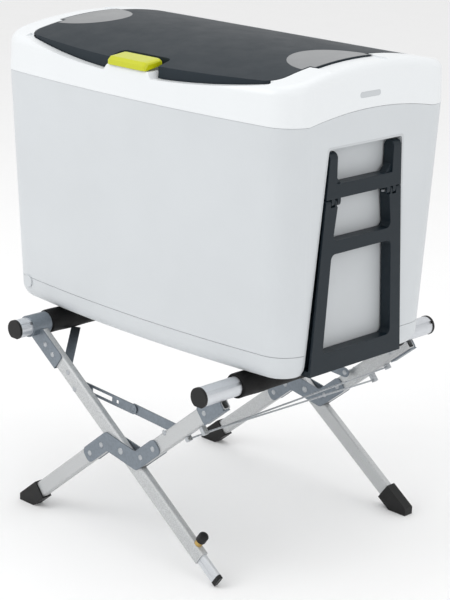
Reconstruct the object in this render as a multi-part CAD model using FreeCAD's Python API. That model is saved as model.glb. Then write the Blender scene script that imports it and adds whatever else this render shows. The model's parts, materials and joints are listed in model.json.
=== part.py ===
"""Chest compressor cooler with a folding pull handle, on its folding X-frame stand.

Frame: origin on the floor under the middle of the object, +Z up, +X towards the end
with the pull handle, -Y towards the front with the lid latch. Millimetres.

The cooler is drawn about its own base centre and moved up onto the stand when it is saved.
The stand is drawn about the middle of its two top bars, and moved up until its feet stand on the floor.
"""
import FreeCAD, Part

import math
import os

# ---------------------------------------------------------------- driving dimensions
# Placing of the two halves of the product
COOLER_AT = (0.0, -20.0, 311.0)
STAND_AT = (7.0, 0.0, 6.0)

# Cooler body
HALF_W = 292.0          # half width at the joint line between body and rim
HALF_D = 166.0          # half depth at the joint line, at the corners
BACK_EXTRA = 9.0        # how much deeper the back half is than the front half
BULGE = 13.0            # how far front and back bow out in plan
TAPER_X = 9.0           # draw-in of each end at the bottom
TAPER_Y = 17.5          # draw-in of front and back at the bottom
CORNER_R = 45.0         # upright corner radius
SEAM_Z = 351.0          # joint line between body and rim
SEAM_RISE = 12.0        # rise of the joint line in the middle of each end
TRAY_Z = 36.0           # seam between base tray and shell
BASE_R = 23.0           # rounding under the body
WALL = 3.0              # moulded wall
RIM_TOP_R = 14.0        # rounding along the top edge of the rim
VAULT_PEAK_Z = 425.0    # crown of the domed top
VAULT_PEAK_Y = 12.0
VAULT_R = 640.0         # radius of the dome, front to back

# Lid
LID_HALF_W = 245.0
LID_TAB = 9.0           # extra half width of the lid beside the hand-holds
LID_TAB_HALF = 56.0     # half length of that wider stretch
LID_TAB_Y = -22.0
HINGE_Y = 112.0
NOSE_R = 11.0           # rounded back edge of the lid, about the hinge axis
LID_FRONT_Y = -147.0    # front edge of the lid at its corners
LID_FRONT_BOW = 18.0
LEDGE_Z = 383.0         # ledge in the rim that the lid edge closes over
LID_GAP = 1.4
NOTCH_HALF = 49.0       # latch notch in the front edge of the lid
NOTCH_Y = -137.0
SCOOP_Z = 403.0         # rim height at the front corners, from which it dips to the ledge

# Food compartment
CAV_X0, CAV_X1 = -132.0, 236.0
CAV_HALF_Y = 122.0
CAV_Z = 48.0
CAV_R = 24.0

# Latch
LATCH_HALF = 38.0
LATCH_Y0, LATCH_Y1 = -180.0, -145.0
LATCH_Z0, LATCH_Z1 = 393.0, 408.0
LATCH_PIN = (-151.5, 399.0)
LATCH_PIN_R = 2.0

# Pull handle on the right-hand end
HANDLE_X0, HANDLE_X1 = 274.0, 291.5
BAY_X = 271.5           # face of the recess behind the handle
BAY_TOP_Z = 318.0
HANDLE_PIVOT = (282.75, 303.0)
HANDLE_HINGE = (286.5, 243.0)
HANDLE_TOP_HALF = 72.0
HANDLE_FOOT_HALF = 95.0
HANDLE_TOP_Z, HANDLE_FOOT_Z = 312.0, 6.0
HANDLE_Y = -10.0        # the handle and its recess sit nearer the front
KNUCKLE_R = 5.0
FIT = 0.05              # radial running clearance

# Sockets on the back wall
AC_Z, DC_Z = 127.0, 161.0

# Wheels at the left-hand end
WHEEL_R = 28.0
WHEEL_W = 24.0
WHEEL_X, WHEEL_Z = -242.0, 30.0
WHEEL_Y = 112.0
AXLE_R = 4.0

# Stand
BAR_X, BAR_Z = 193.0, 286.2
BAR_HALF = 244.5
BAR_R = 14.0
SLEEVE_R = 18.5
SLEEVE_HALF = {-1: 184.0, 1: 174.0}     # half length on the left and right bars
LEG_Y = 198.0
LEG_W = 24.0            # leg section, in the plane of the cross
LEG_T = 13.0            # leg section, front to back
LEG_WALL = 1.8
PIVOT = (0.0, 142.0)
LEG_A_DEG = -35.5       # straight leg, falling to the right
LEG_B_DEG = 39.5        # split leg, rising to the right
SPLIT_OFF = 24.6        # offset of each half of the split leg from the pivot
SPLIT_START = 26.0
PLATE_T = 2.0
RIVET_R = 4.0
STAY_1 = (-104.0, 208.0)
STAY_2 = (88.0, 196.0)
STAY_KNEE = (2.0, 202.0)


# ---------------------------------------------------------------- helpers
def vec(x, y, z):
    return FreeCAD.Vector(x, y, z)


def box(x0, x1, y0, y1, z0, z1):
    return Part.makeBox(x1 - x0, y1 - y0, z1 - z0, vec(x0, y0, z0))


def rod_x(r, x0, x1, y, z):
    return Part.makeCylinder(r, x1 - x0, vec(x0, y, z), vec(1, 0, 0))


def rod_y(r, y0, y1, x, z):
    return Part.makeCylinder(r, y1 - y0, vec(x, y0, z), vec(0, 1, 0))


def rod_z(r, z0, z1, x, y):
    return Part.makeCylinder(r, z1 - z0, vec(x, y, z0), vec(0, 0, 1))


def rod_between(r, a, b):
    return Part.makeCylinder(r, (b - a).Length, a, b - a)


def prism_xz(points, y0, y1):
    """Extrude a closed outline of (x, z) points from y0 to y1."""
    wire = Part.makePolygon([vec(x, y0, z) for x, z in points + points[:1]])
    return Part.Face(wire).extrude(vec(0, y1 - y0, 0))


def prism_yz(points, x0, x1):
    """Extrude a closed outline of (y, z) points from x0 to x1."""
    wire = Part.makePolygon([vec(x0, y, z) for y, z in points + points[:1]])
    return Part.Face(wire).extrude(vec(x1 - x0, 0, 0))


def round_edges(shape, radius, chosen):
    """Fillet the edges that the test picks out."""
    edges = [edge for edge in shape.Edges if chosen(edge)]
    return shape.makeFillet(radius, edges)


def runs_along(edge, axis):
    """True for a straight edge along axis 0, 1 or 2."""
    if not isinstance(edge.Curve, Part.Line):
        return False
    return abs(edge.Curve.Direction[axis]) > 0.999


def rounded_box(x0, x1, y0, y1, z0, z1, radius, axis):
    """A block whose four edges along one axis are rounded."""
    return round_edges(box(x0, x1, y0, y1, z0, z1), radius, lambda edge: runs_along(edge, axis))


def both_sides(shape):
    """The shape and its mirror image in the plane y = 0."""
    return Part.makeCompound([shape, shape.mirror(vec(0, 0, 0), vec(0, 1, 0))])


def save(name, shape, at):
    """Move a finished piece to its place and write it."""
    placed = shape.copy()
    placed.translate(vec(*at))
    solids = placed.Solids
    final = solids[0] if len(solids) == 1 else Part.makeCompound(solids)
    bounds = final.BoundBox
    print("%-20s solids %2d volume %10.0f valid %s  x %.1f..%.1f y %.1f..%.1f z %.1f..%.1f" % (
        name, len(solids), final.Volume, final.isValid(),
        bounds.XMin, bounds.XMax, bounds.YMin, bounds.YMax, bounds.ZMin, bounds.ZMax))
    final.exportStep("parts/%s.step" % name)


# ---------------------------------------------------------------- cooler envelope
def plan_wire(half_x, half_y, bulge, radius, z):
    """Rounded rectangle whose long sides bow outwards."""
    a = half_x - radius
    k = radius * math.sqrt(0.5)
    points = {}
    for sx in (-1, 1):
        for sy, depth in ((-1, half_y), (1, half_y + BACK_EXTRA)):
            b = depth - radius
            points[sx, sy, "long"] = vec(sx * a, sy * depth, z)
            points[sx, sy, "mid"] = vec(sx * (a + k), sy * (b + k), z)
            points[sx, sy, "end"] = vec(sx * half_x, sy * b, z)
    front, back = vec(0, -half_y - bulge, z), vec(0, half_y + BACK_EXTRA + bulge, z)
    edges = [
        Part.Arc(points[-1, -1, "long"], front, points[1, -1, "long"]).toShape(),
        Part.Arc(points[1, -1, "long"], points[1, -1, "mid"], points[1, -1, "end"]).toShape(),
        Part.LineSegment(points[1, -1, "end"], points[1, 1, "end"]).toShape(),
        Part.Arc(points[1, 1, "end"], points[1, 1, "mid"], points[1, 1, "long"]).toShape(),
        Part.Arc(points[1, 1, "long"], back, points[-1, 1, "long"]).toShape(),
        Part.Arc(points[-1, 1, "long"], points[-1, 1, "mid"], points[-1, 1, "end"]).toShape(),
        Part.LineSegment(points[-1, 1, "end"], points[-1, -1, "end"]).toShape(),
        Part.Arc(points[-1, -1, "end"], points[-1, -1, "mid"], points[-1, -1, "long"]).toShape(),
    ]
    return Part.Wire(edges)


def body_solid(inset):
    """Tapered body up to the joint line, all its faces moved in by the inset."""
    top_z = SEAM_Z + SEAM_RISE + 2.0
    radius = CORNER_R - inset
    low = plan_wire(HALF_W - TAPER_X - inset, HALF_D - TAPER_Y - inset, BULGE, radius, inset)
    high = plan_wire(HALF_W - inset, HALF_D - inset, BULGE, radius, top_z)
    solid = Part.makeLoft([low, high], True, True)
    return round_edges(solid, BASE_R - inset, lambda edge: edge.BoundBox.ZMax < inset + 0.1)


def dome(drop, z_low=300.0):
    """Everything under the domed top, lowered by the drop."""
    radius = VAULT_R - drop
    tall = rod_x(radius, -400, 400, VAULT_PEAK_Y, VAULT_PEAK_Z - VAULT_R)
    return tall.common(box(-400, 400, -260, 260, z_low, 500))


def rim_solid(inset):
    """The top rim as a solid block with a rounded upper edge."""
    low = plan_wire(HALF_W - inset, HALF_D - inset, BULGE, CORNER_R - inset, SEAM_Z - 2.0)
    high = plan_wire(HALF_W - 3.0 - inset, HALF_D - 3.0 - inset, BULGE, CORNER_R - inset, 440.0)
    solid = Part.makeLoft([low, high], True, True).common(dome(inset, SEAM_Z - 2.0))
    return round_edges(solid, RIM_TOP_R - inset, lambda edge: edge.BoundBox.ZMin > SEAM_Z + 20)


def below_seam(gap):
    """Half space under the joint line, which arches up at both ends."""
    cut = box(-330, 330, -230, 230, -20, SEAM_Z - gap)
    chord = HALF_D - 40.0
    radius = (chord ** 2 + SEAM_RISE ** 2) / (2 * SEAM_RISE)
    arch = rod_x(radius, 225, 330, 0, SEAM_Z + SEAM_RISE - radius - gap)
    arch = arch.common(box(225, 330, -230, 230, 100, 440))
    return cut.fuse([arch, arch.mirror(vec(0, 0, 0), vec(1, 0, 0))])


def bay_outline(margin):
    """Outline (y, z) of the recess behind the pull handle."""
    top, foot = HANDLE_TOP_HALF + 2.5 + margin, HANDLE_FOOT_HALF + 4.5 + margin
    z_top = BAY_TOP_Z - 2.0 + margin
    return [(-foot, -5.0), (foot, -5.0), (top, z_top), (-top, z_top)]


def bay_prism(margin, x_from):
    solid = prism_yz(bay_outline(margin), x_from, 320)
    solid = round_edges(solid, 5, lambda edge: runs_along(edge, 0) and edge.BoundBox.ZMin > 100)
    solid.translate(vec(0, HANDLE_Y, 0))
    return solid


def wheel_wells(margin):
    """Boxes open at the lower left corner that hold the wheels."""
    radius = WHEEL_R + 5.0 + margin
    half = WHEEL_W / 2 + 3.0 + margin
    wells = []
    for side in (-1, 1):
        y = side * WHEEL_Y
        round_part = rod_y(radius, y - half, y + half, WHEEL_X, WHEEL_Z)
        lower = box(WHEEL_X - radius, WHEEL_X + radius, y - half, y + half, -5, WHEEL_Z)
        wells.append(round_part.fuse(lower))
    return wells[0].fuse(wells[1])


# ---------------------------------------------------------------- cooler casing
def make_casing():
    full = body_solid(0)
    skin = full.cut(body_solid(WALL))
    skin = skin.common(below_seam(0.0))
    skin = skin.cut(bay_prism(3.0, BAY_X - 20))
    above = box(-330, 330, -230, 230, TRAY_Z, 440)
    tray_part = skin.cut(above).cut(wheel_wells(0))
    shell = skin.common(box(-330, 330, -230, 230, TRAY_Z + 0.6, 440))
    shell = shell.cut(rod_y(AXLE_R, -200, 200, WHEEL_X, WHEEL_Z))
    shell = shell.cut(vent_slots(-300, -270, -60, 60, 150, 270))
    shell = shell.cut(rear_slots())
    for z in (AC_Z, DC_Z):
        shell = shell.cut(rounded_box(-232, -192, 120, 200, z - 14, z + 14, 4, 1))
    shell = shell.cut(rounded_box(-240, -130, 140, 200, 262, 322, 6, 1))
    save("outer_shell", shell, COOLER_AT)
    wells = wheel_wells(2.5).cut(wheel_wells(0)).common(body_solid(WALL - 0.1))
    tray_part = tray_part.cut(rod_z(9.0, -5, 10, 60, 0)).fuse(wells.cut(shell))
    tray_part = tray_part.cut(rod_y(AXLE_R, -200, 200, WHEEL_X, WHEEL_Z))
    save("base_tray", tray_part.removeSplitter(), COOLER_AT)
    bay = bay_prism(3.0, BAY_X - 3.0).cut(bay_prism(0, BAY_X)).common(full)
    bay = bay.common(box(200, 330, -230, 230, 3.5, 440))
    x, z = HANDLE_PIVOT
    bay = bay.cut(rod_y(3.0, -90, 90, x, z))
    save("handle_bay", bay, COOLER_AT)


def vent_slots(x0, x1, y0, y1, z0, z1):
    """A stack of level slots through an end wall."""
    slots = []
    count = 10
    step = (z1 - z0) / count
    for index in range(count):
        z = z0 + step * (index + 0.5)
        slots.append(box(x0, x1, y0, y1, z - step * 0.22, z + step * 0.22))
    return Part.makeCompound(slots)


def rear_slots():
    """Upright slots through the back wall, beside the compressor."""
    return Part.makeCompound([box(x, x + 5, 140, 200, 186, 246) for x in range(-232, -130, 12)])


def lid_outline(margin):
    """Plan outline of the lid; the margin is positive for the pocket around it."""
    half, tab = LID_HALF_W + margin, LID_HALF_W + LID_TAB + margin
    front = LID_FRONT_Y - margin
    back = HINGE_Y + NOSE_R + margin
    y0 = LID_TAB_Y - LID_TAB_HALF - margin
    y1 = LID_TAB_Y + LID_TAB_HALF + max(margin, 2.4 * margin)
    radius = 26.0
    k = radius * (1 - math.sqrt(0.5))
    edges = [
        Part.Arc(vec(-half + radius, front, 0), vec(0, front - LID_FRONT_BOW, 0),
                 vec(half - radius, front, 0)).toShape(),
        Part.Arc(vec(half - radius, front, 0), vec(half - k, front + k, 0),
                 vec(half, front + radius, 0)).toShape(),
    ]
    right = [(half, front + radius), (half, y0), (tab, y0), (tab, y1), (half, y1), (half, back)]
    path = right + [(-x, y) for x, y in reversed(right)]
    for a, b in zip(path, path[1:]):
        edges.append(Part.LineSegment(vec(a[0], a[1], 0), vec(b[0], b[1], 0)).toShape())
    edges.append(Part.Arc(vec(-half, front + radius, 0), vec(-half + k, front + k, 0),
                          vec(-half + radius, front, 0)).toShape())
    return Part.Wire(edges)


def lid_prism(margin, z0, z1):
    face = Part.Face(lid_outline(margin))
    face.translate(vec(0, 0, z0))
    return face.extrude(vec(0, 0, z1 - z0))


def cavity(margin, z_top):
    return rounded_box(CAV_X0 - margin, CAV_X1 + margin, -CAV_HALF_Y - margin, CAV_HALF_Y + margin,
                       CAV_Z - margin, z_top, CAV_R + margin, 2)


def make_rim():
    outer = rim_solid(0)
    rim = outer.cut(below_seam(-0.4))
    rim = rim.cut(lid_prism(LID_GAP, LEDGE_Z, 460))
    # The front wall dips under the lid's lip, and rises to a bridge under the latch
    shoulder = [(-NOTCH_HALF - 6, LEDGE_Z - 12), (NOTCH_HALF + 6, LEDGE_Z - 12),
                (NOTCH_HALF - 8, LATCH_Z0 - 0.5), (-NOTCH_HALF + 8, LATCH_Z0 - 0.5)]
    bridge = prism_xz(shoulder, -230, NOTCH_Y - 2)
    bridge = bridge.common(outer).cut(lid_block(-3, -LID_GAP, 300))
    rim = rim.cut(front_scoop()).fuse(bridge)
    hollow = rim_solid(3.5).common(box(-330, 330, -230, 230, 300, LEDGE_Z - 4))
    rim = rim.cut(hollow)
    for side in (-1, 1):
        x0, x1 = sorted((side * (LID_HALF_W + LID_TAB + 5), side * 330))
        cheek = rim_solid(3.5).common(box(x0, x1, -120, 85, 340, 460))
        rim = rim.cut(cheek)
    rim = rim.cut(cavity(0.3, 460))
    # Shallow hand-holds in the middle of both ends
    for side in (-1, 1):
        x0, x1 = sorted((side * (LID_HALF_W + 4), side * 330))
        hold = box(x0, x1, LID_TAB_Y - LID_TAB_HALF - 1, LID_TAB_Y + LID_TAB_HALF + 1, 300, 460)
        rim = rim.cut(hold.cut(dome(2.2, 250)))
    rim = rim.cut(rod_x(2.5 + FIT, -LID_HALF_W - 24, LID_HALF_W + 24, HINGE_Y, hinge_z()))
    ears = []
    for x in (-30, 30):
        ear = box(x - 3, x + 3, LATCH_PIN[0] - 4, LATCH_PIN[0] + 4, LATCH_Z0 - 5, LATCH_PIN[1])
        ears.append(ear.fuse(rod_x(4, x - 3, x + 3, *LATCH_PIN)).cut(rod_x(LATCH_PIN_R, x - 5, x + 5, *LATCH_PIN)))
    rim = rim.fuse(ears)
    badge = rounded_box(270, 330, -28, 14, 378, 386, 3.9, 0)
    rim = rim.cut(badge.cut(rim_solid(1.0)))
    save("top_rim", rim.removeSplitter(), COOLER_AT)
    save("badge_plate", badge.common(rim_solid(0.1)).cut(rim_solid(0.95)), COOLER_AT)


def front_scoop():
    """The space above the front wall, whose top edge dips in a long arc between the corners."""
    half, deep = LID_HALF_W - 3.0, SCOOP_Z - LEDGE_Z
    radius = (half ** 2 + deep ** 2) / (2 * deep)
    round_cut = rod_y(radius, -230, LID_FRONT_Y + 4, 0, LEDGE_Z + radius)
    return round_cut.common(box(-half, half, -230, LID_FRONT_Y + 4, 300, 460))


def hinge_z():
    """Height of the lid hinge, so that the rounded back edge meets the dome."""
    crown = VAULT_PEAK_Z - VAULT_R + math.sqrt((VAULT_R - NOSE_R) ** 2 - (HINGE_Y - VAULT_PEAK_Y) ** 2)
    return crown


# ---------------------------------------------------------------- lid and latch
def lid_block(drop, inset, z_low):
    """The lid's outer form, with its faces moved in by the inset."""
    block = lid_prism(-inset, z_low, 460).common(dome(drop, 300))
    notch = rounded_box(-NOTCH_HALF - inset, NOTCH_HALF + inset, -230, NOTCH_Y + inset, 300, 460, 10, 2)
    block = block.cut(notch)
    back = box(-330, 330, HINGE_Y, 230, 300, 460)
    nose = rod_x(NOSE_R - inset, -LID_HALF_W + inset, LID_HALF_W - inset, HINGE_Y, hinge_z())
    return block.cut(back).fuse(nose.common(back))


def make_lid():
    z_low = LEDGE_Z + 1.5
    skirt_z = z_low + 3.0
    block = lid_block(0, 0, z_low)
    hollow = lid_block(3.0, 3.0, 300).common(box(-330, 330, -230, HINGE_Y - 14, 300, 460))
    shell = block.cut(hollow)
    insets = []
    for side in (-1, 1):
        disc = Part.makeCylinder(1.0, 200, vec(0, 0, 300))
        matrix = FreeCAD.Matrix()
        matrix.scale(72.0, 64.0, 1.0)
        oval = disc.transformGeometry(matrix)
        oval.translate(vec(side * (LID_HALF_W + 5), LID_TAB_Y - 6, 0))
        insets.append(oval.common(lid_block(0, 2.0, 300)))
    well = dome(0, 300).cut(dome(1.2, 300))
    ovals = Part.makeCompound([inset.common(well) for inset in insets])
    shell = shell.cut(ovals)
    shell = shell.cut(rod_x(2.5, -LID_HALF_W - 30, -LID_HALF_W + 22, HINGE_Y, hinge_z()))
    shell = shell.cut(rod_x(2.5, LID_HALF_W - 22, LID_HALF_W + 30, HINGE_Y, hinge_z()))
    save("lid_shell", shell, COOLER_AT)
    save("lid_insets", ovals, COOLER_AT)
    foam = hollow.common(lid_block(3.2, 3.2, skirt_z))
    save("lid_foam", foam, COOLER_AT)
    plate = lid_block(3.2, 3.2, z_low).common(box(-330, 330, -230, HINGE_Y - 14, z_low, skirt_z))
    plug = rounded_box(CAV_X0 + 8, CAV_X1 - 8, -CAV_HALF_Y + 8, HINGE_Y - 30, z_low - 14, z_low, 18, 2)
    panel = plate.fuse(plug).removeSplitter()
    save("lid_inner_panel", panel, COOLER_AT)
    ring = rounded_box(CAV_X0 + 3.0, CAV_X1 - 3.0, -CAV_HALF_Y + 5.0, HINGE_Y - 20, z_low - 8, z_low, 22, 2)
    gasket = ring.cut(rounded_box(CAV_X0 + 8, CAV_X1 - 8, -CAV_HALF_Y + 8, HINGE_Y - 30,
                                  300, 460, 18, 2))
    save("lid_gasket", gasket, COOLER_AT)
    pins = [rod_x(2.5, LID_HALF_W - 22, LID_HALF_W + 23, HINGE_Y, hinge_z())]
    pins.append(pins[0].mirror(vec(0, 0, 0), vec(1, 0, 0)))
    save("lid_hinge_pins", Part.makeCompound(pins), COOLER_AT)


def make_latch():
    y0, y1, z0, z1 = LATCH_Y0, LATCH_Y1, LATCH_Z0, LATCH_Z1
    profile = [(y0, z0), (LATCH_PIN[0], z0), (y1, z0 + 4.5), (y1, z1 - 1),
               (y1 - 3, z1), (y0 + 3, z1 - 3), (y0, z1 - 6)]
    key = prism_yz(profile, -LATCH_HALF, LATCH_HALF)
    key = round_edges(key, 1.2, lambda edge: runs_along(edge, 0) and edge.BoundBox.ZMin > z0 + 5)
    pin_y, pin_z = LATCH_PIN
    for x in (-30, 30):
        slot = rod_x(4.6, x - 3.6, x + 3.6, pin_y, pin_z)
        slot = slot.fuse(box(x - 3.6, x + 3.6, pin_y - 8, y1 + 5, z0 - 5, pin_z))
        key = key.cut(slot)
    key = key.cut(rod_x(LATCH_PIN_R + FIT, -LATCH_HALF - 5, LATCH_HALF - 2, pin_y, pin_z))
    save("latch", key, COOLER_AT)
    save("latch_pin", rod_x(LATCH_PIN_R, -LATCH_HALF + 4, LATCH_HALF - 4, pin_y, pin_z), COOLER_AT)


# ---------------------------------------------------------------- inside the cooler
MACHINE_X1 = -166.0


def make_inside():
    liner = cavity(0, LEDGE_Z - 1.0).cut(cavity(-2.5, 440.0))
    liner = liner.cut(rod_z(6.0, 30, 60, 60, 0))
    save("inner_liner", liner, COOLER_AT)
    foam = body_solid(WALL + 0.3).common(box(MACHINE_X1 + 6, 330, -230, 230, 0, 348))
    foam = foam.cut(cavity(0.3, 440)).cut(bay_prism(3.5, BAY_X - 4)).cut(wheel_wells(3))
    foam = foam.cut(rod_z(9.5, -5, 60, 60, 0))
    foam = foam.cut(box(-172, -124, 120, 200, 258, 326))
    save("insulation_foam", foam, COOLER_AT)
    plate = rounded_box(CAV_X0 + 3.2, CAV_X0 + 5.2, -92, 92, 130, 340, 12, 0)
    save("evaporator_plate", plate, COOLER_AT)
    drain = rod_z(8.5, 1.0, 4.5, 60, 0).fuse(rod_z(5.6, 1.0, CAV_Z + 2.0, 60, 0))
    save("drain_plug", drain, COOLER_AT)
    save("wire_basket", basket(), COOLER_AT)
    make_machinery()


def basket():
    """Welded wire basket standing on the floor of the food compartment."""
    x0, x1, half, z0, z1 = CAV_X0 + 16, CAV_X1 - 14, CAV_HALF_Y - 14, CAV_Z + 8, 340.0
    rail, upright = 1.6, 1.3

    def wire(half_t, a, b):
        low = [min(p, q) - half_t for p, q in zip(a, b)]
        high = [max(p, q) + half_t for p, q in zip(a, b)]
        return box(low[0], high[0], low[1], high[1], low[2], high[2])

    wires = []
    for z in (z0, 200.0, z1):
        for y in (-half, half):
            wires.append(wire(rail, (x0, y, z), (x1, y, z)))
        for x in (x0, x1):
            wires.append(wire(rail, (x, -half, z), (x, half, z)))
    for index in range(1, 8):
        x = x0 + (x1 - x0) * index / 8
        wires.append(wire(upright, (x, -half, z0), (x, half, z0)))
        for y in (-half, half):
            wires.append(wire(upright, (x, y, z0), (x, y, z1)))
    for index in range(1, 6):
        y = -half + 2 * half * index / 6
        wires.append(wire(upright, (x0, y, z0), (x1, y, z0)))
        for x in (x0, x1):
            wires.append(wire(upright, (x, y, z0), (x, y, z1)))
    return wires[0].fuse(wires[1:]).removeSplitter()


def make_machinery():
    x = -214.0
    can = rod_z(40, 24, 96, x, 0)
    can = round_edges(can, 16, lambda edge: edge.BoundBox.ZMax > 95)
    stubs = [rod_y(4, 30, 62, x - 10, 60), rod_y(4, -62, -30, x + 10, 70)]
    flange = box(x - 42, x + 42, -52, 52, 20, 24)
    save("compressor", can.fuse(stubs + [flange]), COOLER_AT)
    mounts = [rod_z(7, WALL, 20, x + sx * 30, sy * 42) for sx in (-1, 1) for sy in (-1, 1)]
    save("compressor_mounts", Part.makeCompound(mounts), COOLER_AT)
    fins = [box(-240 + 4.0 * i, -239.2 + 4.0 * i, -66, 66, 140, 276) for i in range(7)]
    tubes = []
    for z in range(152, 272, 16):
        tubes.append(rod_y(3, -70, 70, -228, z))
    ends = [box(-242, -214, y, y + 1.5, 138, 278) for y in (-67.5, 66)]
    save("condenser", fins[0].fuse(fins[1:] + tubes + ends), COOLER_AT)
    frame = rounded_box(-274, -250, -60, 60, 150, 270, 8, 0)
    frame = frame.cut(rod_x(54, -280, -240, 0, 210))
    spider = [box(-253, -250, -56, 56, 207, 213), box(-253, -250, -3, 3, 154, 266)]
    motor = rod_x(17, -262, -250, 0, 210)
    frame = frame.fuse(spider + [motor])
    frame = frame.cut(rod_x(2.0 + FIT, -264, -252, 0, 210))
    save("fan_housing", frame, COOLER_AT)
    hub = rod_x(16, -273, -262.6, 0, 210)
    blades = []
    for index in range(7):
        blade = box(-271, -269.4, -9, 9, 14, 51)
        blade.rotate(vec(-270, 0, 32), vec(0, 0, 1), 28)
        blade.translate(vec(0, 0, 210))
        blade.rotate(vec(0, 0, 210), vec(1, 0, 0), index * 360 / 7)
        blades.append(blade)
    blades = [blade.common(rod_x(52, -278, -262.6, 0, 210)) for blade in blades]
    rotor = hub.fuse(blades + [rod_x(2.0, -264, -254, 0, 210)])
    save("fan_rotor", rotor, COOLER_AT)
    board = box(-262, -180, -60, 60, 300, 301.6)
    chips = [box(-250, -226, -40, -12, 301.6, 312), box(-215, -190, 5, 45, 301.6, 307),
             rod_z(7, 301.6, 318, -240, 20)]
    save("control_board", board.fuse(chips), COOLER_AT)


def panel_surface(x, z):
    """Depth of the back wall's outer face at a height, over the machine bay."""
    lean = TAPER_Y * (1 - z / (SEAM_Z + SEAM_RISE + 2.0))
    bow_radius = ((HALF_W - CORNER_R) ** 2 + BULGE ** 2) / (2 * BULGE)
    bow = math.sqrt(bow_radius ** 2 - x ** 2) - (bow_radius - BULGE)
    return HALF_D + BACK_EXTRA - lean + bow


def make_controls():
    """Control panel, sockets and grilles, on the back wall and the left-hand end."""
    full = body_solid(0)
    plate = rounded_box(-239.7, -130.3, 130, 200, 262.3, 321.7, 6, 1)
    plate = plate.common(full).cut(body_solid(WALL))
    window = rounded_box(-232, -192, 130, 200, 284, 314, 3, 1)
    plate = plate.cut(window)
    for x in (-182, -166, -150):
        plate = plate.cut(rod_y(5.5, 120, 200, x, 292))
    save("control_panel", plate, COOLER_AT)
    glass = rounded_box(-231.8, -192.2, 130, 200, 284.2, 313.8, 3, 1)
    save("display_window", glass.common(body_solid(0.6)).cut(body_solid(WALL)), COOLER_AT)
    for name, x in (("button_power", -182), ("button_up", -166), ("button_down", -150)):
        y = panel_surface(x, 292)
        stem = rod_y(5.2, y - 4.5, y + 1.2, x, 292)
        save(name, stem.fuse(rod_y(6.6, y - 7.0, y - 4.5, x, 292)), COOLER_AT)
    dc = rounded_box(-231.7, -192.3, 120, 200, DC_Z - 13.7, DC_Z + 13.7, 4, 1)
    dc = dc.common(full).cut(body_solid(WALL))
    y = panel_surface(-212, DC_Z)
    dc = dc.fuse(rod_y(11, y - 24, y - 1.5, -212, DC_Z)).cut(rod_y(8, y - 22, y + 5, -212, DC_Z))
    save("dc_inlet", dc, COOLER_AT)
    ac = rounded_box(-231.7, -192.3, 120, 200, AC_Z - 13.7, AC_Z + 13.7, 4, 1)
    ac = ac.common(full).cut(body_solid(WALL))
    y = panel_surface(-212, AC_Z)
    ac = ac.fuse(rounded_box(-226, -198, y - 24, y - 1.5, AC_Z - 10, AC_Z + 10, 4, 1))
    ac = ac.cut(rounded_box(-223, -201, y - 22, y + 5, AC_Z - 7, AC_Z + 7, 3, 1))
    for x in (-217, -207):
        ac = ac.fuse(rod_y(1.6, y - 23, y - 6, x, AC_Z))
    save("ac_inlet", ac, COOLER_AT)


# ---------------------------------------------------------------- pull handle
def handle_half(z):
    """Half width of the pull handle at a height."""
    share = (HANDLE_TOP_Z - z) / (HANDLE_TOP_Z - HANDLE_FOOT_Z)
    return HANDLE_TOP_HALF + (HANDLE_FOOT_HALF - HANDLE_TOP_HALF) * share


def handle_window(z0, z1, arm_low, arm_high, radius):
    """A rounded window between the arms, from z0 to z1."""
    low, high = handle_half(z0) - arm_low, handle_half(z1) - arm_high
    outline = [(-low, z0), (low, z0), (high, z1), (-high, z1)]
    solid = prism_yz(outline, 250, 320)
    return round_edges(solid, radius, lambda edge: runs_along(edge, 0))


def handle_plate(z0, z1):
    low, high = handle_half(z0), handle_half(z1)
    return prism_yz([(-low, z0), (low, z0), (high, z1), (-high, z1)], HANDLE_X0, HANDLE_X1)


def knuckle_zones():
    """Spans in y of the upper section's hinge knuckles."""
    return [(-66.0, -60.0), (-54.0, -48.0), (48.0, 54.0), (60.0, 66.0)]


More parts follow.
